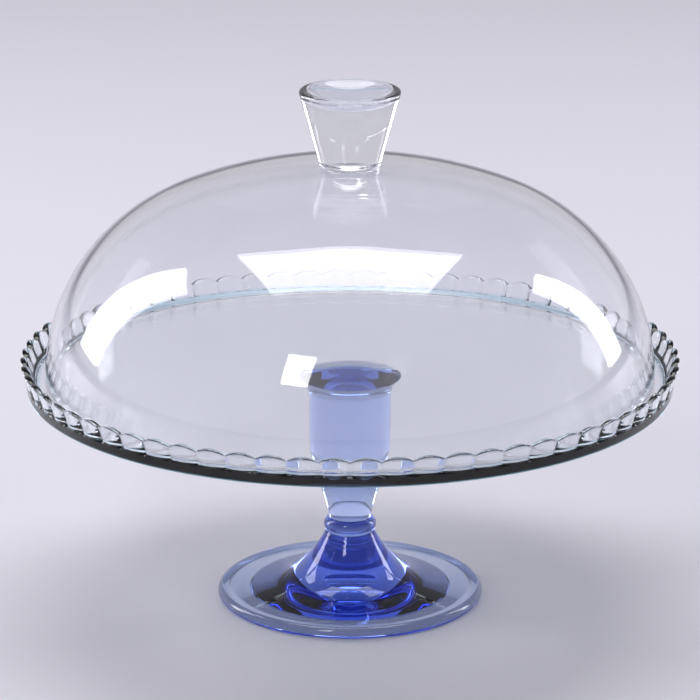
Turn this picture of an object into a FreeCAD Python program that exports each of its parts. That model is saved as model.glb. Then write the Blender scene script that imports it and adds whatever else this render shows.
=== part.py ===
"""A footed glass cheese dome: a fluted plate on a stem and foot, under a lift-off cover.

Millimetres. +Z is up and the origin is the centre of the foot's underside.
Every piece is a solid of revolution about Z. The plate's rim is fluted as well.
"""
import FreeCAD, Part
import math
import os
import Sketcher

# Driving sizes. Each one is written once, here, and read from the sheet everywhere else.
SIZES = {
    # Foot: a disc with a raised round lip and a bell that rises to the neck.
    "foot_radius": 65.5,
    "foot_lip_round": 3.0,
    "foot_lip_width": 6.6,
    "foot_disc_thickness": 4.8,
    "foot_bell_radius": 32.0,
    "foot_bell_base": 10.0,
    "foot_bell_hollow": 64.0,
    "foot_bell_blend": 14.0,
    "foot_neck_radius": 12.0,
    "foot_height": 34.0,
    "foot_recess_radius": 48.0,
    "foot_recess_depth": 0.8,
    "foot_dimple_radius": 10.0,
    "foot_dimple_depth": 1.2,
    # Collar: the bead of glass that joins the stem to the foot.
    "collar_height": 7.0,
    "collar_bulge": 4.2,
    "collar_step": 0.6,
    # Stem: a solid cone that swells into a straight body and flares under the plate.
    "stem_base_radius": 10.4,
    "stem_cone_radius": 14.4,
    "stem_cone_height": 15.5,
    "stem_cone_hollow": 90.0,
    "stem_body_radius": 20.0,
    "stem_swell": 45.0,
    "stem_shoulder_height": 37.0,
    "stem_straight": 21.0,
    "stem_flare_height": 11.0,
    "stem_flare_radius": 25.0,
    "stem_flare_round": 14.0,
    # Plate: a flat floor, a plain band at the edge and a fluted rim that leans out.
    "plate_radius": 161.6,
    "plate_thickness": 5.0,
    "plate_edge_round": 1.2,
    "plate_band_height": 4.8,
    "rim_height": 14.9,
    "rim_lean": 17.0,
    "rim_wall": 4.0,
    "rim_corner_round": 3.0,
    "rim_crest_round": 1.6,
    "flute_count": 68,
    "flute_depth": 1.8,
    "flute_drop": 2.2,
    "flute_crown": 0.2,
    # Cover: a dome with a rounded edge that stands on the plate inside the rim.
    "cover_play": 5.2,
    "cover_height": 105.0,
    "cover_wall": 3.6,
    "cover_crown": 240.0,
    "cover_edge_round": 1.5,
    # Knob: a solid cone with a dished top, on a small flat ground on the dome's crown.
    "knob_seat_radius": 12.3,
    "knob_base_radius": 15.4,
    "knob_base_round": 3.4,
    "knob_top_radius": 25.0,
    "knob_height": 38.0,
    "knob_lip": 1.9,
    "knob_dish_radius": 21.6,
    "knob_dish_depth": 6.5,
}

doc = FreeCAD.newDocument("cheese_dome")
sheet = doc.addObject("Spreadsheet::Sheet", "Sizes")
for row, (alias, number) in enumerate(SIZES.items(), start=1):
    sheet.set(f"A{row}", alias)
    sheet.set(f"B{row}", str(number))
    sheet.setAlias(f"B{row}", alias)
doc.recompute()


def size(formula):
    """The present value of a formula written in the sheet's aliases."""
    return float(sheet.evalExpression(formula))


def origin_feature(body, role):
    """One of a body's own origin planes or axes, such as XZ_Plane or Z_Axis."""
    return next(item for item in body.Origin.OriginFeatures if item.Role == role)


def new_body(name):
    body = doc.addObject("PartDesign::Body", name)
    body.Label = name
    return body


def new_sketch(body, name, plane):
    sketch = body.newObject("Sketcher::SketchObject", name)
    sketch.AttachmentSupport = [(origin_feature(body, plane), "")]
    sketch.MapMode = "FlatFace"
    return sketch


def bind(sketch, constraint, label, formula):
    """Add one dimension to a sketch and tie it to the sheet."""
    index = sketch.addConstraint(constraint)
    sketch.renameConstraint(index, label)
    sketch.setExpression(f"Constraints.{label}", formula)


def draw_outline(sketch, corners):
    """Draw a closed outline and fix every corner and every arc from the sheet.

    Each corner is (across, up) or (across, up, radius, turn). The last two make the edge
    that leaves the corner an arc, which turns left (+1) or right (-1) as it goes.
    """
    points = [FreeCAD.Vector(size(corner[0]), size(corner[1]), 0) for corner in corners]
    for index, corner in enumerate(corners):
        start = points[index]
        end = points[(index + 1) % len(points)]
        if len(corner) == 2:
            sketch.addGeometry(Part.LineSegment(start, end))
            continue
        radius = size(corner[2])
        turn = corner[3]
        chord = end - start
        across = FreeCAD.Vector(-chord.y, chord.x, 0).normalize()
        centre = start + chord / 2 + across * turn * math.sqrt(radius ** 2 - (chord.Length / 2) ** 2)
        first, last = (start, end) if turn > 0 else (end, start)
        begin = math.atan2(first.y - centre.y, first.x - centre.x)
        finish = math.atan2(last.y - centre.y, last.x - centre.x)
        circle = Part.Circle(centre, FreeCAD.Vector(0, 0, 1), radius)
        sketch.addGeometry(Part.ArcOfCircle(circle, begin, finish))
    # An arc that turns right is stored from its end to its start.
    leaves = [2 if len(corner) > 2 and corner[3] < 0 else 1 for corner in corners]
    for index, corner in enumerate(corners):
        before = index - 1 if index else len(corners) - 1
        sketch.addConstraint(Sketcher.Constraint(
            "Coincident", before, 3 - leaves[before], index, leaves[index]))
        for axis, formula, value, line in (("X", corner[0], points[index].x, -2),
                                           ("Y", corner[1], points[index].y, -1)):
            if formula == "0":
                sketch.addConstraint(Sketcher.Constraint("PointOnObject", index, leaves[index], line))
            else:
                limit = Sketcher.Constraint(f"Distance{axis}", -1, 1, index, leaves[index], value)
                bind(sketch, limit, f"corner_{axis}_{index}", formula)
        if len(corner) > 2:
            bind(sketch, Sketcher.Constraint("Radius", index, size(corner[2])),
                 f"arc_{index}", corner[2])


def revolve(body, name, corners):
    """Turn an outline, drawn with the radius across and the height up, about the body's axis."""
    sketch = new_sketch(body, f"{name}_section", "XZ_Plane")
    draw_outline(sketch, corners)
    solid = body.newObject("PartDesign::Revolution", f"{name}_turned")
    solid.Profile = sketch
    solid.ReferenceAxis = (sketch, ["V_Axis"])
    solid.Angle = 360
    doc.recompute()
    return solid


def ring_edge(shape, radius, height):
    """The name of the circular edge that lies nearest to a radius and a height."""
    def miss(edge):
        if edge.Degenerated or edge.Curve.TypeId != "Part::GeomCircle":
            return math.inf
        return abs(edge.Curve.Radius - radius) + abs(edge.Curve.Center.z - height)
    nearest = min(range(len(shape.Edges)), key=lambda index: miss(shape.Edges[index]))
    return f"Edge{nearest + 1}"


def round_ring(body, name, base, radius, height, fillet):
    """Round the circular edge of the body's last feature that lies at a radius and a height."""
    rounded = body.newObject("PartDesign::Fillet", name)
    rounded.Base = (base, [ring_edge(base.Shape, size(radius), size(height))])
    rounded.setExpression("Radius", fillet)
    doc.recompute()
    return rounded


def cap_radius(half_width, depth):
    """Formula for the arc that rises by a depth over a half width and is level at its top."""
    return f"(({half_width}) ^ 2 + ({depth}) ^ 2) / (2 * ({depth}))"


def lift(body, formula):
    """Stand a body at its height above the table."""
    body.setExpression("Placement.Base.z", formula)


def make_foot():
    body = new_body("foot")
    lip_centre = "Sizes.foot_radius - Sizes.foot_lip_round"
    disc_edge = "Sizes.foot_radius - Sizes.foot_lip_width"
    recess_edge = "Sizes.foot_recess_radius + Sizes.foot_recess_depth"
    dimple_top = "Sizes.foot_recess_depth + Sizes.foot_dimple_depth"
    dimple_round = cap_radius("Sizes.foot_dimple_radius", "Sizes.foot_dimple_depth")
    turned = revolve(body, "foot", [
        ("0", dimple_top, dimple_round, -1),
        ("Sizes.foot_dimple_radius", "Sizes.foot_recess_depth"),
        ("Sizes.foot_recess_radius", "Sizes.foot_recess_depth"),
        (recess_edge, "0"),
        (lip_centre, "0", "Sizes.foot_lip_round", 1),
        ("Sizes.foot_radius", "Sizes.foot_lip_round", "Sizes.foot_lip_round", 1),
        (lip_centre, "Sizes.foot_lip_round * 2", "Sizes.foot_lip_round * 2", 1),
        (disc_edge, "Sizes.foot_disc_thickness"),
        ("Sizes.foot_bell_radius", "Sizes.foot_bell_base", "Sizes.foot_bell_hollow", -1),
        ("Sizes.foot_neck_radius", "Sizes.foot_height"),
        ("0", "Sizes.foot_height"),
    ])
    round_ring(body, "bell_blend", turned, "Sizes.foot_bell_radius", "Sizes.foot_bell_base",
               "Sizes.foot_bell_blend")
    return body


def make_collar():
    body = new_body("collar")
    revolve(body, "collar", [
        ("0", "0"),
        ("Sizes.foot_neck_radius - Sizes.collar_step", "0", "Sizes.collar_bulge", 1),
        ("Sizes.stem_base_radius + Sizes.collar_step / 3", "Sizes.collar_height"),
        ("0", "Sizes.collar_height"),
    ])
    lift(body, "Sizes.foot_height")
    return body


STEM_FOOT = "Sizes.foot_height + Sizes.collar_height"
STEM_HEIGHT = "Sizes.stem_shoulder_height + Sizes.stem_straight + Sizes.stem_flare_height"
PLATE_UNDERSIDE = f"{STEM_FOOT} + {STEM_HEIGHT}"
PLATE_FLOOR = f"{PLATE_UNDERSIDE} + Sizes.plate_thickness"


def make_stem():
    body = new_body("stem")
    revolve(body, "stem", [
        ("0", "0"),
        ("Sizes.stem_base_radius", "0", "Sizes.stem_cone_hollow", -1),
        ("Sizes.stem_cone_radius", "Sizes.stem_cone_height", "Sizes.stem_swell", 1),
        ("Sizes.stem_body_radius", "Sizes.stem_shoulder_height"),
        ("Sizes.stem_body_radius", "Sizes.stem_shoulder_height + Sizes.stem_straight",
         "Sizes.stem_flare_round", -1),
        ("Sizes.stem_flare_radius", STEM_HEIGHT),
        ("0", STEM_HEIGHT),
    ])
    lift(body, STEM_FOOT)
    return body


# The rim's outer face leans out from the band to the crest, and its inner face runs beside it.
LEAN = "tan(Sizes.rim_lean * 1deg)"
RIM_FOOT_RADIUS = f"Sizes.plate_radius - (Sizes.rim_height - Sizes.plate_band_height) * {LEAN}"
RIM_WALL_ACROSS = "Sizes.rim_wall / cos(Sizes.rim_lean * 1deg)"
CREST_INNER_RADIUS = f"Sizes.plate_radius - {RIM_WALL_ACROSS}"
RIM_INNER_RADIUS = f"{CREST_INNER_RADIUS} - (Sizes.rim_height - Sizes.plate_thickness) * {LEAN}"
BAND_RADIUS = f"{RIM_FOOT_RADIUS} - Sizes.plate_edge_round / 3"
HALF_PITCH = "Sizes.plate_radius * sin(180deg / Sizes.flute_count)"


def make_plate():
    body = new_body("plate")
    turned = revolve(body, "plate", [
        ("0", "0"),
        (f"{BAND_RADIUS} - Sizes.plate_edge_round", "0", "Sizes.plate_edge_round", 1),
        (BAND_RADIUS, "Sizes.plate_edge_round"),
        (RIM_FOOT_RADIUS, "Sizes.plate_band_height"),
        ("Sizes.plate_radius", "Sizes.rim_height"),
        (CREST_INNER_RADIUS, "Sizes.rim_height"),
        (RIM_INNER_RADIUS, "Sizes.plate_thickness"),
        ("0", "Sizes.plate_thickness"),
    ])
    corner = round_ring(body, "rim_corner", turned, RIM_INNER_RADIUS, "Sizes.plate_thickness",
                        "Sizes.rim_corner_round")
    outer = round_ring(body, "crest_outside", corner, "Sizes.plate_radius", "Sizes.rim_height",
                       "Sizes.rim_crest_round")
    inner = round_ring(body, "crest_inside", outer, CREST_INNER_RADIUS, "Sizes.rim_height",
                       "Sizes.rim_crest_round")
    flute_rim(body, inner)
    lift(body, PLATE_UNDERSIDE)
    return body


def cut_groove(body, blank, name, sketch, length):
    """Cut one groove from a sketch and make sure that it takes glass away."""
    cut = body.newObject("PartDesign::Pocket", name)
    cut.Profile = sketch
    cut.Type = 0
    cut.setExpression("Length", length)
    doc.recompute()
    if cut.Shape.Volume >= blank.Shape.Volume:
        raise RuntimeError(f"{name} cuts nothing")
    return cut


def flute_rim(body, blank):
    """Cut the rim into flutes: a groove between neighbours, and a notch that rounds their tips."""
    flank = cap_radius(HALF_PITCH, "Sizes.flute_depth")
    groove = new_sketch(body, "groove_section", "XY_Plane")
    groove.AttachmentOffset = FreeCAD.Placement(
        FreeCAD.Vector(0, 0, 0), FreeCAD.Rotation(FreeCAD.Vector(0, 1, 0), size("Sizes.rim_lean")))
    groove.setExpression("AttachmentOffset.Rotation.Angle", "Sizes.rim_lean * 1deg")
    groove.setExpression("AttachmentOffset.Base.x", "Sizes.plate_radius")
    groove.setExpression("AttachmentOffset.Base.z", "Sizes.rim_height")
    # Across is outwards, square to the leaning rim. The two flanks meet at the groove's root.
    draw_outline(groove, [
        ("-Sizes.flute_depth", "0", flank, -1),
        ("0", f"-({HALF_PITCH})"),
        ("Sizes.flute_depth", f"-({HALF_PITCH})"),
        ("Sizes.flute_depth", HALF_PITCH),
        ("0", HALF_PITCH, flank, -1),
    ])
    grooved = cut_groove(body, blank, "flute_groove", groove,
                         "(Sizes.rim_height - Sizes.plate_band_height) / cos(Sizes.rim_lean * 1deg)")

    tip = cap_radius(HALF_PITCH, "Sizes.flute_drop")
    crown = "Sizes.rim_height + Sizes.flute_crown"
    notch = new_sketch(body, "notch_section", "YZ_Plane")
    notch.setExpression("AttachmentOffset.Base.z", "Sizes.plate_radius + Sizes.flute_depth")
    # Across is along the rim. The arcs are the tops of the flutes on either side.
    draw_outline(notch, [
        ("0", f"{crown} - Sizes.flute_drop", tip, -1),
        (HALF_PITCH, crown),
        (HALF_PITCH, f"{crown} + Sizes.flute_drop"),
        (f"-({HALF_PITCH})", f"{crown} + Sizes.flute_drop"),
        (f"-({HALF_PITCH})", crown, tip, -1),
    ])
    notched = cut_groove(body, grooved, "flute_notch", notch,
                         f"2 * Sizes.flute_depth + {RIM_WALL_ACROSS} + Sizes.flute_drop * {LEAN}")

    ring = body.newObject("PartDesign::PolarPattern", "flutes")
    ring.Originals = [grooved, notched]
    ring.Axis = (origin_feature(body, "Z_Axis"), [""])
    ring.Angle = 360
    ring.setExpression("Occurrences", "Sizes.flute_count")
    body.Tip = ring


COVER_RADIUS = f"{RIM_INNER_RADIUS} - Sizes.cover_play"


def shoulder_radius(radius, height, crown):
    """Formula for the arc that is upright at the edge and runs smoothly into the crown's arc."""
    return (f"(2 * ({height}) * ({crown}) - ({radius}) ^ 2 - ({height}) ^ 2)"
            f" / (2 * (({crown}) - ({radius})))")


def shoulder_point(radius, height, crown):
    """Formulas for the point where those two arcs meet, on the line through both centres."""
    shoulder = shoulder_radius(radius, height, crown)
    stretch = f"({crown}) / (({crown}) - ({shoulder}))"
    across = f"(({radius}) - ({shoulder})) * {stretch}"
    up = f"(({height}) - ({crown})) * (1 - {stretch})"
    return across, up


def make_dome():
    body = new_body("dome")
    inner_radius = f"({COVER_RADIUS}) - Sizes.cover_wall"
    inner_height = "Sizes.cover_height - Sizes.cover_wall"
    inner_crown = "Sizes.cover_crown - Sizes.cover_wall"
    outer_meet = shoulder_point(COVER_RADIUS, "Sizes.cover_height", "Sizes.cover_crown")
    inner_meet = shoulder_point(inner_radius, inner_height, inner_crown)
    seat_drop = ("Sizes.cover_crown - sqrt(Sizes.cover_crown ^ 2 - Sizes.knob_seat_radius ^ 2)")
    seat_height = f"Sizes.cover_height - ({seat_drop})"
    turned = revolve(body, "dome", [
        (inner_radius, "0"),
        (COVER_RADIUS, "0", shoulder_radius(COVER_RADIUS, "Sizes.cover_height", "Sizes.cover_crown"), 1),
        (*outer_meet, "Sizes.cover_crown", 1),
        ("Sizes.knob_seat_radius", seat_height),
        ("0", seat_height),
        ("0", inner_height, inner_crown, -1),
        (*inner_meet, shoulder_radius(inner_radius, inner_height, inner_crown), -1),
    ])
    outside = round_ring(body, "edge_outside", turned, COVER_RADIUS, "0 * Sizes.cover_wall",
                         "Sizes.cover_edge_round")
    round_ring(body, "edge_inside", outside, inner_radius, "0 * Sizes.cover_wall",
               "Sizes.cover_edge_round")
    lift(body, PLATE_FLOOR)
    return body, seat_height


def make_knob(seat_height):
    body = new_body("knob")
    lip_inner = "Sizes.knob_dish_radius"
    dish_round = cap_radius("Sizes.knob_dish_radius", "Sizes.knob_dish_depth")
    turned = revolve(body, "knob", [
        ("0", "0"),
        ("Sizes.knob_seat_radius", "0", "Sizes.knob_base_round", 1),
        ("Sizes.knob_base_radius", "Sizes.knob_base_round"),
        ("Sizes.knob_top_radius", "Sizes.knob_height"),
        (lip_inner, "Sizes.knob_height", dish_round, -1),
        ("0", "Sizes.knob_height - Sizes.knob_dish_depth"),
    ])
    round_ring(body, "knob_lip", turned, "Sizes.knob_top_radius", "Sizes.knob_height",
               "Sizes.knob_lip")
    lift(body, f"{PLATE_FLOOR} + {seat_height}")
    return body


def main():
    dome, seat_height = make_dome()
    pieces = [make_foot(), make_collar(), make_stem(), make_plate(), dome, make_knob(seat_height)]
    doc.recompute()
    for item in doc.Objects:
        if {"Invalid", "Error"} & set(item.State):
            raise RuntimeError(f"{item.Name} did not build: {item.State}")
    os.makedirs("parts", exist_ok=True)
    for piece in pieces:
        if piece.Shape.isNull() or not piece.Shape.isValid() or len(piece.Shape.Solids) != 1:
            raise RuntimeError(f"{piece.Label} is not one valid solid")
        piece.Shape.exportStep(f"parts/{piece.Label}.step")
        box = piece.Shape.BoundBox
        print(f"{piece.Label}: volume {piece.Shape.Volume:.1f}, radius {box.XMax:.2f},"
              f" height {box.ZMin:.2f} to {box.ZMax:.2f}")


main()
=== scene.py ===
"""A footed glass cheese dome in a plain pale studio.

Every piece of glass is turned on Z from its own outline, in metres, inside the box of the
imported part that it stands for. Glass pieces that are joined run a hair into each other,
so that light passes the joint as it does through one piece of glass.
"""
import bmesh
import bpy
import math
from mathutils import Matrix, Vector


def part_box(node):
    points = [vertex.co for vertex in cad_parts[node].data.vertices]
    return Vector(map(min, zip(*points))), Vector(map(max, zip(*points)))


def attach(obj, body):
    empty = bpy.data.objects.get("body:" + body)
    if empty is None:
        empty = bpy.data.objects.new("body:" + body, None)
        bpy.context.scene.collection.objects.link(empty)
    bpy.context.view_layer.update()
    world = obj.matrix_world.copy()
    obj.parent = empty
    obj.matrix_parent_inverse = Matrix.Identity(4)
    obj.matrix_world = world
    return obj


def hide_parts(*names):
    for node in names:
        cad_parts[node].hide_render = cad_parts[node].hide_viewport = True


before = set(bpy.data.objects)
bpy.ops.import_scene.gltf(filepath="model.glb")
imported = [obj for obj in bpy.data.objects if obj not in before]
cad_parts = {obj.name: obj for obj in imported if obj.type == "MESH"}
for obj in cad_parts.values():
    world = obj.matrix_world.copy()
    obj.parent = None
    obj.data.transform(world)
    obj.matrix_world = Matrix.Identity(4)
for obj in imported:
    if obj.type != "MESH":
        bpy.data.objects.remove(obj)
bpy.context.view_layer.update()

JOINT_OVERLAP = 0.00025
ROUND_STEPS = 256
FLUTES = 68
STEPS_PER_FLUTE = 14
SHARP_ANGLE = math.radians(28)
MERGE_DISTANCE = 1e-7
HEIGHT_MARGIN = 1e-5
BISECTIONS = 30


# ---------------------------------------------------------------- outlines

def arc(start, end, radius, turn, pieces=12):
    """Points along an arc after its start, turning left (+1) or right (-1) on the way."""
    start, end = Vector(start), Vector(end)
    chord = end - start
    side = Vector((-chord.y, chord.x)).normalized()
    centre = start + chord / 2 + side * turn * math.sqrt(radius ** 2 - (chord.length / 2) ** 2)
    begin = math.atan2(start.y - centre.y, start.x - centre.x)
    sweep = (math.atan2(end.y - centre.y, end.x - centre.x) - begin) * turn % math.tau * turn
    angles = [begin + sweep * step / pieces for step in range(1, pieces)]
    return [tuple(centre + radius * Vector((math.cos(a), math.sin(a)))) for a in angles] + [tuple(end)]


def line(start, end, pieces):
    """Points along a straight stretch after its start."""
    start, end = Vector(start), Vector(end)
    return [tuple(start.lerp(end, step / pieces)) for step in range(1, pieces + 1)]


def soften(outline, corner, reach, pieces=6):
    """Replace an outline's corner with a curve that starts and ends a reach away from it."""
    corner = Vector(corner)
    near = [index for index, point in enumerate(outline) if (Vector(point) - corner).length < reach]
    first, last = near[0] - 1, near[-1] + 1

    def crossing(inside, outside):
        """The point on the way from inside to outside that lies just at the reach."""
        inside, outside = Vector(outline[inside]), Vector(outline[outside])
        low, high = 0.0, 1.0
        for _ in range(BISECTIONS):
            middle = (low + high) / 2
            if (inside.lerp(outside, middle) - corner).length < reach:
                low = middle
            else:
                high = middle
        return inside.lerp(outside, high)

    start = crossing(near[0], first)
    end = crossing(near[-1], last)
    curve = []
    for step in range(pieces + 1):
        along = step / pieces
        curve.append(tuple(start.lerp(corner, along).lerp(corner.lerp(end, along), along)))
    return outline[:first + 1] + curve + outline[last:]


def cap_radius(half_width, depth):
    """The arc that rises by a depth over a half width and is level at its top."""
    return (half_width ** 2 + depth ** 2) / (2 * depth)


# ---------------------------------------------------------------- pieces

def box_of(node):
    """A node's radius, its lowest height and its highest height."""
    low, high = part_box(node)
    return (high[0] - low[0]) / 2, low[2], high[2]


def turned(name, outline, steps=ROUND_STEPS, shape=None):
    """Spin an outline of (radius, height) points about Z into one closed piece of glass."""
    work = bmesh.new()
    points = [work.verts.new((radius, 0, height)) for radius, height in outline]
    edges = [work.edges.new(pair) for pair in zip(points, points[1:])]
    bmesh.ops.spin(work, geom=points + edges, cent=(0, 0, 0), axis=(0, 0, 1),
                   angle=math.tau, steps=steps, use_merge=True)
    bmesh.ops.remove_doubles(work, verts=work.verts, dist=MERGE_DISTANCE)
    if shape:
        for vertex in work.verts:
            shape(vertex)
    bmesh.ops.recalc_face_normals(work, faces=work.faces)
    for face in work.faces:
        face.smooth = True
    for edge in work.edges:
        if len(edge.link_faces) == 2 and edge.calc_face_angle() > SHARP_ANGLE:
            edge.smooth = False
    mesh = bpy.data.meshes.new(name)
    work.to_mesh(mesh)
    work.free()
    piece = bpy.data.objects.new(name, mesh)
    bpy.context.scene.collection.objects.link(piece)
    return piece


FOOT_LIP_ROUND = 0.003
FOOT_LIP_WIDTH = 0.0066
FOOT_DISC_THICKNESS = 0.0048
FOOT_BELL = (0.032, 0.010)
FOOT_BELL_HOLLOW = 0.064
FOOT_BELL_REACH = 0.006
FOOT_NECK_RADIUS = 0.012
FOOT_RECESS_RADIUS = 0.048
FOOT_RECESS_DEPTH = 0.0008
FOOT_DIMPLE_RADIUS = 0.010
FOOT_DIMPLE_DEPTH = 0.0012
FOOT_DISC_REACH = 0.0012
FOOT_DIMPLE_REACH = 0.0008


def make_foot():
    radius, bottom, top = box_of("foot")
    lip_centre = radius - FOOT_LIP_ROUND
    lip_side = (radius, bottom + FOOT_LIP_ROUND)
    lip_top = (lip_centre, bottom + 2 * FOOT_LIP_ROUND)
    disc_edge = (radius - FOOT_LIP_WIDTH, bottom + FOOT_DISC_THICKNESS)
    recess = bottom + FOOT_RECESS_DEPTH
    dimple_edge = (FOOT_DIMPLE_RADIUS, recess)
    recess_edge = (FOOT_RECESS_RADIUS, recess)
    stand_edge = (FOOT_RECESS_RADIUS + FOOT_RECESS_DEPTH, bottom)
    bell_edge = (FOOT_BELL[0], bottom + FOOT_BELL[1])
    neck = (FOOT_NECK_RADIUS, top)
    outline = [(0, recess + FOOT_DIMPLE_DEPTH)]
    outline += arc(outline[-1], dimple_edge, cap_radius(FOOT_DIMPLE_RADIUS, FOOT_DIMPLE_DEPTH), -1)
    outline += line(dimple_edge, recess_edge, 8)
    outline += line(recess_edge, stand_edge, 1)
    outline += line(stand_edge, (lip_centre, bottom), 4)
    outline += arc((lip_centre, bottom), lip_side, FOOT_LIP_ROUND, 1)
    outline += arc(lip_side, lip_top, FOOT_LIP_ROUND, 1)
    outline += arc(lip_top, disc_edge, 2 * FOOT_LIP_ROUND, 1)
    outline += line(disc_edge, bell_edge, 16)
    outline += arc(bell_edge, neck, FOOT_BELL_HOLLOW, -1, 24)
    outline += line(neck, (0, top), 2)
    outline = soften(outline, bell_edge, FOOT_BELL_REACH, 10)
    outline = soften(outline, disc_edge, FOOT_DISC_REACH)
    outline = soften(outline, dimple_edge, FOOT_DIMPLE_REACH)
    return turned("foot_glass", outline)


COLLAR_BULGE = 0.0042
COLLAR_FOOT = 0.0114
COLLAR_TOP = 0.0106


def make_collar():
    _, bottom, top = box_of("collar")
    low, high = bottom - JOINT_OVERLAP, top + JOINT_OVERLAP
    outline = [(0, low), (COLLAR_FOOT - JOINT_OVERLAP, low), (COLLAR_FOOT, bottom)]
    outline += arc(outline[-1], (COLLAR_TOP, top), COLLAR_BULGE, 1, 20)
    outline += [(STEM_BASE_RADIUS - JOINT_OVERLAP, high), (0, high)]
    return turned("collar_glass", outline)


STEM_BASE_RADIUS = 0.0104
STEM_CONE = (0.0144, 0.0155)
STEM_CONE_HOLLOW = 0.090
STEM_BODY_RADIUS = 0.020
STEM_SWELL = 0.045
STEM_SHOULDER = 0.037
STEM_STRAIGHT = 0.021
STEM_FLARE_ROUND = 0.014
STEM_CONE_REACH = 0.004
STEM_FLARE_REACH = 0.002


def make_stem():
    radius, bottom, top = box_of("stem")
    cone_top = (STEM_CONE[0], bottom + STEM_CONE[1])
    shoulder = (STEM_BODY_RADIUS, bottom + STEM_SHOULDER)
    flare = (STEM_BODY_RADIUS, bottom + STEM_SHOULDER + STEM_STRAIGHT)
    outline = [(0, bottom), (STEM_BASE_RADIUS, bottom)]
    outline += arc(outline[-1], cone_top, STEM_CONE_HOLLOW, -1, 14)
    outline += arc(cone_top, shoulder, STEM_SWELL, 1, 20)
    outline += line(shoulder, flare, 8)
    outline += arc(flare, (radius, top), STEM_FLARE_ROUND, -1, 16)
    outline += [(radius, top + JOINT_OVERLAP), (0, top + JOINT_OVERLAP)]
    outline = soften(outline, cone_top, STEM_CONE_REACH, 8)
    outline = soften(outline, flare, STEM_FLARE_REACH, 6)
    return turned("stem_glass", outline)


PLATE_THICKNESS = 0.005
PLATE_EDGE_ROUND = 0.0012
BAND_DRAFT = PLATE_EDGE_ROUND / 3
BAND_HEIGHT = 0.0048
RIM_LEAN = math.tan(math.radians(17))
RIM_WALL = 0.0040
RIM_CORNER_REACH = 0.003
CREST_REACH = 0.0017
FLUTE_DEPTH = 0.0018
FLUTE_DROP = 0.0022
FLUTE_LEDGE = 0.0007
FLUTE_TIP_REACH = 0.0055
FLUTE_TIP_POWER = 1.5


def make_plate():
    radius, underside, crest = box_of("plate")
    floor = underside + PLATE_THICKNESS
    band = underside + BAND_HEIGHT
    # The crest is rounded, so the rim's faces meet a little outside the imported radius.
    sharp_radius = radius + CREST_REACH * RIM_LEAN
    wall_across = RIM_WALL / math.cos(math.atan(RIM_LEAN))
    rim_foot = (sharp_radius - (crest - band) * RIM_LEAN, band)
    tip_outer = (sharp_radius, crest)
    tip_inner = (sharp_radius - wall_across, crest)
    corner = (tip_inner[0] - (crest - floor) * RIM_LEAN, floor)
    band_foot = (rim_foot[0] - BAND_DRAFT, underside)
    outline = [(0, underside)]
    outline += line(outline[-1], band_foot, 12)
    outline += line(band_foot, rim_foot, 5)
    outline += line(rim_foot, tip_outer, 14)
    outline += line(tip_outer, tip_inner, 4)
    outline += line(tip_inner, corner, 12)
    outline += line(corner, (0, floor), 12)
    outline = soften(outline, band_foot, PLATE_EDGE_ROUND)
    outline = soften(outline, tip_outer, CREST_REACH)
    outline = soften(outline, tip_inner, CREST_REACH)
    outline = soften(outline, corner, RIM_CORNER_REACH)

    half_pitch = radius * math.sin(math.pi / FLUTES)
    flank = cap_radius(half_pitch, FLUTE_DEPTH)
    tip = cap_radius(half_pitch, FLUTE_DROP)
    wall_middle = sharp_radius - wall_across / 2

    def flute(vertex):
        """Press the grooves into the rim's outer face and let its crest fall between flutes."""
        x, y, z = vertex.co
        out = math.hypot(x, y)
        if z < band + HEIGHT_MARGIN or out < corner[0]:
            return
        share = math.atan2(y, x) * FLUTES / math.tau % 1
        across = abs(2 * share - 1) * half_pitch
        middle = wall_middle - (crest - z) * RIM_LEAN
        outer = min(max((out - middle) / (wall_across / 2), 0), 1)
        ledge = min((z - band) / FLUTE_LEDGE, 1)
        dent = (flank - math.sqrt(flank ** 2 - across ** 2)) * outer * ledge
        climb = max(1 - (crest - z) / FLUTE_TIP_REACH, 0)
        fall = (tip - math.sqrt(tip ** 2 - across ** 2)) * climb ** FLUTE_TIP_POWER
        pressed = out - dent
        vertex.co = (x * pressed / out, y * pressed / out, z - fall)

    return turned("plate_glass", outline, FLUTES * STEPS_PER_FLUTE, flute)


DOME_WALL = 0.0036
DOME_CROWN = 0.240
DOME_EDGE_REACH = 0.0017
KNOB_SEAT_RADIUS = 0.0123


def dome_side(radius, height, bottom, crown, pieces):
    """Points from the edge to the axis: an arc upright at the edge that runs into the crown's."""
    shoulder = (2 * height * crown - radius ** 2 - height ** 2) / (2 * (crown - radius))
    stretch = crown / (crown - shoulder)
    meet = ((radius - shoulder) * stretch, bottom + (height - crown) * (1 - stretch))
    side = [(radius, bottom)]
    side += arc(side[-1], meet, shoulder, 1, pieces)
    side += arc(meet, (0, bottom + height), crown, 1, pieces)
    return side


def make_dome():
    radius, bottom, seat = box_of("dome")
    seat_sag = DOME_CROWN - math.sqrt(DOME_CROWN ** 2 - KNOB_SEAT_RADIUS ** 2)
    height = seat - bottom + seat_sag
    outside = dome_side(radius, height, bottom, DOME_CROWN, 36)
    outside = [point for point in outside if point[0] > KNOB_SEAT_RADIUS]
    outside += [(KNOB_SEAT_RADIUS, seat), (0, seat)]
    inside = dome_side(radius - DOME_WALL, height - DOME_WALL, bottom, DOME_CROWN - DOME_WALL, 36)
    edge_middle = (radius - DOME_WALL / 2, bottom)
    outline = inside[::-1] + [edge_middle] + outside
    outline = soften(outline, (radius - DOME_WALL, bottom), DOME_EDGE_REACH, 8)
    outline = soften(outline, (radius, bottom), DOME_EDGE_REACH, 8)
    return turned("dome_glass", outline)


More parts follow.
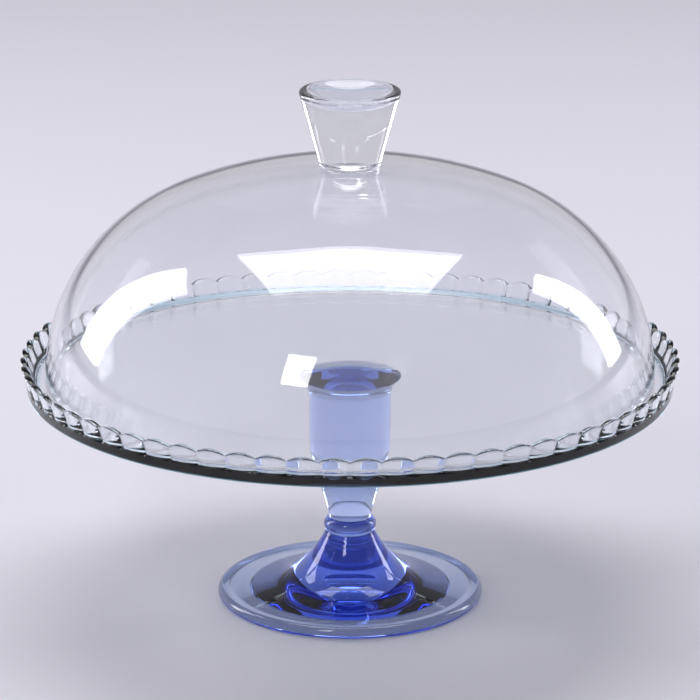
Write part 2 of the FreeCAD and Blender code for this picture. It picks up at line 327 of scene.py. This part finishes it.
KNOB_BASE_RADIUS = 0.0154
KNOB_BASE_ROUND = 0.0034
KNOB_LIP_REACH = 0.0019
KNOB_TOP_RADIUS = 0.025
KNOB_DISH_RADIUS = 0.0216
KNOB_DISH_DEPTH = 0.0065
KNOB_DISH_REACH = 0.0012


def make_knob():
    _, bottom, top = box_of("knob")
    base_edge = (KNOB_BASE_RADIUS, bottom + KNOB_BASE_ROUND)
    top_edge = (KNOB_TOP_RADIUS, top)
    dish_edge = (KNOB_DISH_RADIUS, top)
    outline = [(0, bottom - JOINT_OVERLAP), (KNOB_SEAT_RADIUS, bottom - JOINT_OVERLAP)]
    outline += [(KNOB_SEAT_RADIUS, bottom)]
    outline += arc(outline[-1], base_edge, KNOB_BASE_ROUND, 1)
    outline += line(base_edge, top_edge, 20)
    outline += line(top_edge, dish_edge, 4)
    dish_round = cap_radius(KNOB_DISH_RADIUS, KNOB_DISH_DEPTH)
    outline += arc(dish_edge, (0, top - KNOB_DISH_DEPTH), dish_round, -1, 24)
    outline = soften(outline, top_edge, KNOB_LIP_REACH, 10)
    outline = soften(outline, dish_edge, KNOB_DISH_REACH)
    return turned("knob_glass", outline)


# ---------------------------------------------------------------- finishes

class Signal:
    """A shader socket that takes part in Python sums, which become Math nodes."""

    def __init__(self, finish, socket):
        self.finish = finish
        self.socket = socket

    def sum_with(self, operation, first, second):
        return self.finish.node("ShaderNodeMath", {"operation": operation}, {0: first, 1: second})

    def __add__(self, other):
        return self.sum_with("ADD", self, other)

    def __sub__(self, other):
        return self.sum_with("SUBTRACT", self, other)

    def __rsub__(self, other):
        return self.sum_with("SUBTRACT", other, self)

    def __mul__(self, other):
        return self.sum_with("MULTIPLY", self, other)

    __radd__ = __add__
    __rmul__ = __mul__


class Finish:
    """The node tree of a material or a world, and the means to add to it."""

    def __init__(self, owner):
        self.owner = owner
        owner.use_nodes = True
        self.tree = owner.node_tree
        self.tree.nodes.clear()

    def node(self, kind, settings=None, sockets=None, output=0):
        """Add a node, set it up, fill its sockets with values or links, and give one output."""
        made = self.tree.nodes.new(kind)
        for name, value in (settings or {}).items():
            setattr(made, name, value)
        for name, value in (sockets or {}).items():
            if isinstance(value, Signal):
                self.tree.links.new(value.socket, made.inputs[name])
            else:
                made.inputs[name].default_value = value
        return Signal(self, made.outputs[output]) if made.outputs else None

    def place(self):
        return self.node("ShaderNodeTexCoord", output="Object")

    def noise(self, scale, detail, place):
        return self.node("ShaderNodeTexNoise", {}, {"Vector": place, "Scale": scale, "Detail": detail})

    def fade(self, value, low, high):
        """0 below one value of a signal, 1 above another, and smooth between them."""
        return self.node("ShaderNodeMapRange", {"interpolation_type": "SMOOTHSTEP"},
                         {"Value": value, "From Min": low, "From Max": high})

    def blend(self, share, first, second):
        return self.node("ShaderNodeMix", {"data_type": "RGBA"},
                         {"Factor": share, "A": first, "B": second}, output="Result")


GLASS_IOR = 1.5
SWIRL_SCALE = 9.0
RIPPLE_SCALE = 55.0
HAZE_SCALE = 24.0
SOFT_DETAIL = 2.0
FINE_DETAIL = 4.0
SWIRL_SHARE = 0.8
BUMP_STRENGTH = 0.12
BUMP_DISTANCE = 0.0006
HAZE_RANGE = (0.45, 0.75)
HAZE_SHADE = 0.985
HAZE_SHARE = 0.5
HAZE_ROUGHNESS = 0.018
POLISH = 0.002


def shaded(colour, shade=1.0):
    """A colour with its alpha, a little darker if asked."""
    return (*[part * shade for part in colour], 1)


def glass(name, clear, depth_tint, depth, edge_tint=None, edge=None):
    """Pressed glass: a faint swirl in the surface, a trace of haze and a tint that deepens inside.

    clear is the colour of a thin wall. depth_tint and depth are the colour that a thick stretch
    turns to, and how fast. edge gives the mask where edge_tint replaces clear.
    """
    finish = Finish(bpy.data.materials.new(name))
    place = finish.place()
    swirl = finish.noise(SWIRL_SCALE, SOFT_DETAIL, place)
    ripple = finish.noise(RIPPLE_SCALE, SOFT_DETAIL, place)
    haze = finish.fade(finish.noise(HAZE_SCALE, FINE_DETAIL, place), *HAZE_RANGE)
    colour = finish.blend(haze * HAZE_SHARE, shaded(clear), shaded(clear, HAZE_SHADE))
    if edge:
        colour = finish.blend(edge(finish, place), colour, shaded(edge_tint))
    height = swirl * SWIRL_SHARE + ripple * (1 - SWIRL_SHARE)
    bump = finish.node("ShaderNodeBump", {}, {
        "Strength": BUMP_STRENGTH, "Distance": BUMP_DISTANCE, "Height": height})
    surface = finish.node("ShaderNodeBsdfPrincipled", {}, {
        "Base Color": colour, "Roughness": haze * HAZE_ROUGHNESS + POLISH, "Normal": bump,
        "IOR": GLASS_IOR, "Transmission Weight": 1.0})
    inside = finish.node("ShaderNodeVolumeAbsorption", {}, {
        "Color": shaded(depth_tint), "Density": depth})
    finish.node("ShaderNodeOutputMaterial", {}, {"Surface": surface, "Volume": inside})
    return finish.owner


EDGE_FADE = 0.0025
EDGE_INNER = 0.010
EDGE_OUTER = 0.007


def plate_edge(finish, place):
    """The plain band of the plate and the foot of its rim, where the pressed glass is thickest."""
    radius, underside, _ = box_of("plate")
    band = underside + BAND_HEIGHT
    height = finish.node("ShaderNodeSeparateXYZ", {}, {"Vector": place}, output="Z")
    flat = finish.node("ShaderNodeVectorMath", {"operation": "MULTIPLY"}, {0: place, 1: (1, 1, 0)})
    out = finish.node("ShaderNodeVectorMath", {"operation": "LENGTH"}, {0: flat}, output="Value")
    low = 1 - finish.fade(height, band, band + EDGE_FADE)
    return low * finish.fade(out, radius - EDGE_INNER, radius - EDGE_OUTER)


# Painted blue light: the foot's glass is clear, and this blue colour and blue absorption stand in for
# the blue light seen in it.
def foot_glass_painted_blue_light():
    return glass("foot_glass_painted_blue_light", (0.72, 0.82, 1.0), (0.12, 0.32, 0.96), 34.0)


# Painted blue light: the collar's glass is clear, and this blue colour and blue absorption stand in
# for the blue light seen in it.
def collar_glass_painted_blue_light():
    return glass("collar_glass_painted_blue_light", (0.78, 0.86, 1.0), (0.12, 0.34, 0.96), 28.0)


# Painted blue light: the stem's glass is clear, and this blue colour and blue absorption stand in for
# the blue light seen in it.
def stem_glass_painted_blue_light():
    return glass("stem_glass_painted_blue_light", (0.84, 0.90, 1.0), (0.16, 0.38, 0.95), 22.0)


def plate_clear_glass():
    return glass("plate_clear_glass", (0.97, 0.985, 1.0), (0.25, 0.66, 0.80), 3.2,
                 (0.62, 0.84, 0.92), plate_edge)


def dome_clear_glass():
    return glass("dome_clear_glass", (0.985, 0.985, 1.0), (0.45, 0.55, 0.85), 2.0)


def knob_clear_glass():
    return glass("knob_clear_glass", (0.985, 0.985, 1.0), (0.45, 0.55, 0.85), 2.0)


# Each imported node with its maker, its glass, its body and its slot.
GLASSWARE = {
    "foot": (make_foot, foot_glass_painted_blue_light, "stand", "foot_glass"),
    "collar": (make_collar, collar_glass_painted_blue_light, "stand", "stem_glass"),
    "stem": (make_stem, stem_glass_painted_blue_light, "stand", "stem_glass"),
    "plate": (make_plate, plate_clear_glass, "stand", "plate_glass"),
    "dome": (make_dome, dome_clear_glass, "cover", "cover_glass"),
    "knob": (make_knob, knob_clear_glass, "cover", "cover_glass"),
}


def make_glassware():
    for node, (make, finish, body, slot) in GLASSWARE.items():
        piece = make()
        piece.data.materials.append(finish())
        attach(piece, body)
        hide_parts(node)


# ---------------------------------------------------------------- studio

FLOOR_REACH = 9.0
FLOOR_COLOUR = (0.70, 0.69, 0.74)
WORLD_LOW = (0.62, 0.61, 0.66)
FLOOR_SIDES = 96
FLOOR_TONE_SCALE = 3.0
FLOOR_SHADE = 0.985
FLOOR_ROUGHNESS = 0.6
WORLD_HIGH = (0.20, 0.20, 0.24)
WORLD_CLIMB = (0.02, 0.75)


def make_floor():
    work = bmesh.new()
    bmesh.ops.create_circle(work, cap_ends=True, radius=FLOOR_REACH, segments=FLOOR_SIDES)
    mesh = bpy.data.meshes.new("studio_floor")
    work.to_mesh(mesh)
    work.free()
    floor = bpy.data.objects.new("studio_floor", mesh)
    bpy.context.scene.collection.objects.link(floor)
    finish = Finish(bpy.data.materials.new("studio_floor_paint"))
    tone = finish.noise(FLOOR_TONE_SCALE, SOFT_DETAIL, finish.place())
    colour = finish.blend(tone, shaded(FLOOR_COLOUR), shaded(FLOOR_COLOUR, FLOOR_SHADE))
    paint = finish.node("ShaderNodeBsdfPrincipled", {}, {
        "Base Color": colour, "Roughness": FLOOR_ROUGHNESS})
    finish.node("ShaderNodeOutputMaterial", {}, {"Surface": paint})
    floor.data.materials.append(finish.owner)


def make_world():
    """A pale horizon under a darker ceiling, which the glass needs for its outlines."""
    world = Finish(bpy.data.worlds.new("studio"))
    bpy.context.scene.world = world.owner
    way = world.node("ShaderNodeTexCoord", output="Generated")
    height = world.node("ShaderNodeSeparateXYZ", {}, {"Vector": way}, output="Z")
    climb = world.fade(height, *WORLD_CLIMB)
    colour = world.blend(climb, shaded(WORLD_LOW), shaded(WORLD_HIGH))
    background = world.node("ShaderNodeBackground", {}, {"Color": colour})
    world.node("ShaderNodeOutputWorld", {}, {"Surface": background})


def add_softbox(name, place, aim, width, height, power, colour=(1, 1, 1)):
    light = bpy.data.lights.new(name, "AREA")
    light.shape = "RECTANGLE"
    light.size = width
    light.size_y = height
    light.energy = power
    light.color = colour
    lamp = bpy.data.objects.new(name, light)
    lamp.location = place
    lamp.rotation_euler = (Vector(aim) - Vector(place)).to_track_quat("-Z", "Y").to_euler()
    bpy.context.scene.collection.objects.link(lamp)


def make_lights():
    middle = (0, 0, 0.15)
    add_softbox("left_softbox", (-1.5, 0.7, 0.9), middle, 0.5, 1.5, 16, (0.96, 0.95, 1.0))
    add_softbox("right_softbox", (1.6, 0.8, 0.8), middle, 0.35, 1.4, 12, (0.96, 0.95, 1.0))
    add_softbox("top_softbox", (0, 0.5, 2.2), middle, 1.6, 1.2, 24)
    add_softbox("front_softbox", (-0.9, -2.2, 1.9), middle, 0.5, 0.9, 14)


CAMERA_DISTANCE = 2.100
CAMERA_HEIGHT = 0.7837
CAMERA_PITCH = math.radians(17.37)
CAMERA_LENS = 231.3
CAMERA_SENSOR = 36.0
GLASS_BOUNCES = 24


def make_camera():
    camera = bpy.data.cameras.new("camera")
    camera.lens = CAMERA_LENS
    camera.sensor_width = CAMERA_SENSOR
    holder = bpy.data.objects.new("camera", camera)
    holder.location = (0, -CAMERA_DISTANCE, CAMERA_HEIGHT)
    holder.rotation_euler = (math.pi / 2 - CAMERA_PITCH, 0, 0)
    bpy.context.scene.collection.objects.link(holder)
    bpy.context.scene.camera = holder


def set_look():
    scene = bpy.context.scene
    scene.view_settings.view_transform = "Standard"
    scene.cycles.max_bounces = GLASS_BOUNCES
    scene.cycles.transmission_bounces = GLASS_BOUNCES


make_camera()
make_glassware()
make_floor()
make_world()
make_lights()
set_look()
